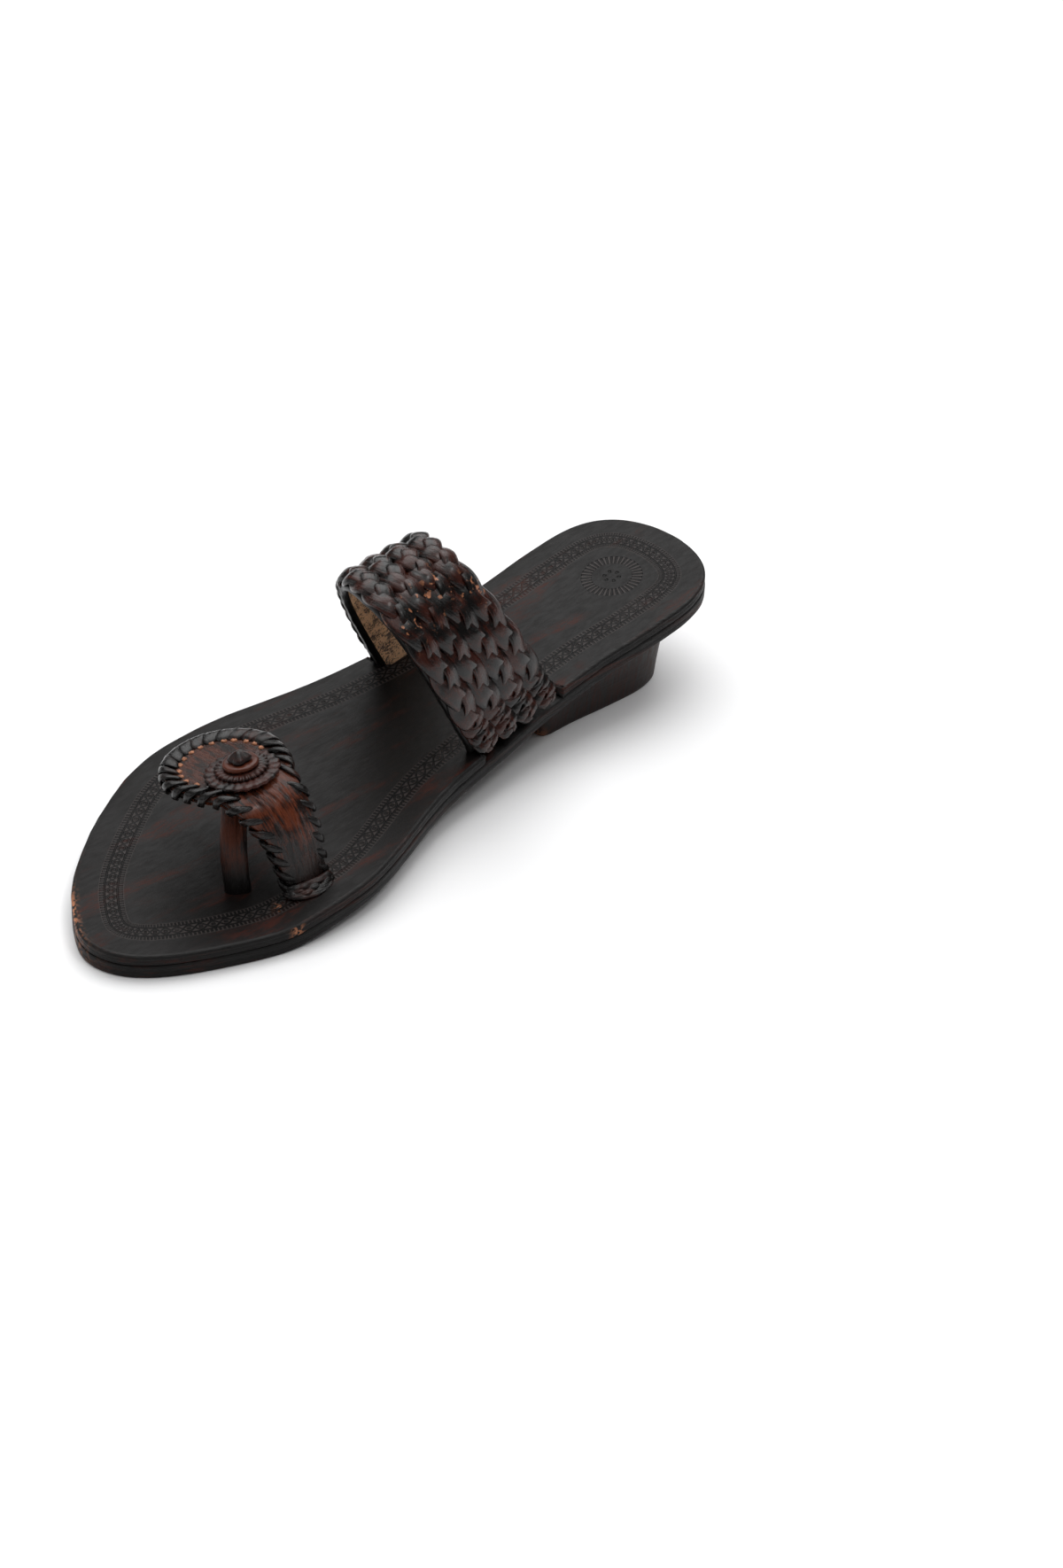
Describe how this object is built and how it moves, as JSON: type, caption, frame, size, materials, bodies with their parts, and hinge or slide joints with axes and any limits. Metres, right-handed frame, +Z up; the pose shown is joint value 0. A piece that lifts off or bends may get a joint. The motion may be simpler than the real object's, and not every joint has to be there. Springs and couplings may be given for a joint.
{
  "type": "kolhapuri sandal",
  "caption": "Right-foot open leather slip-on sandal: low heel block, tooled footbed, braided instep strap and a rosette toe loop on a post.",
  "frame": {"origin": "on the floor, under the middle of the box round the sandal", "axes": "+Z up, +Y from toe to heel (the length), +X towards the big-toe side"},
  "size_m": [0.0954, 0.258, 0.078],
  "materials": {
    "sole_edge": "black edge-dressed stacked leather with a satin polish",
    "footbed": "near-black brown tooled leather with red-brown rub-through, satin",
    "heel": "stacked leather, dark brown, dull polish",
    "braid": "dark brown braided leather, satin, rubbed tan on the high spots",
    "toe_leather": "red-brown leather with black dressed edges, satin",
    "post_leather": "folded brown leather strip, satin",
    "rosette": "dark brown punched leather, satin",
    "knot": "near-black knotted leather tip, satin",
    "lining": "raw tan suede, dark speckled"
  },
  "bodies": {
    "root": {"outsole": "sole_edge", "insole": "footbed", "heel_block": "heel", "instep_strap": "braid", "toe_strap": "toe_leather", "toe_post": "post_leather", "rosette_washer": "rosette", "rosette_ring": "rosette", "rosette_cap": "rosette", "post_knob": "knot"}
  },
  "joints": []
}
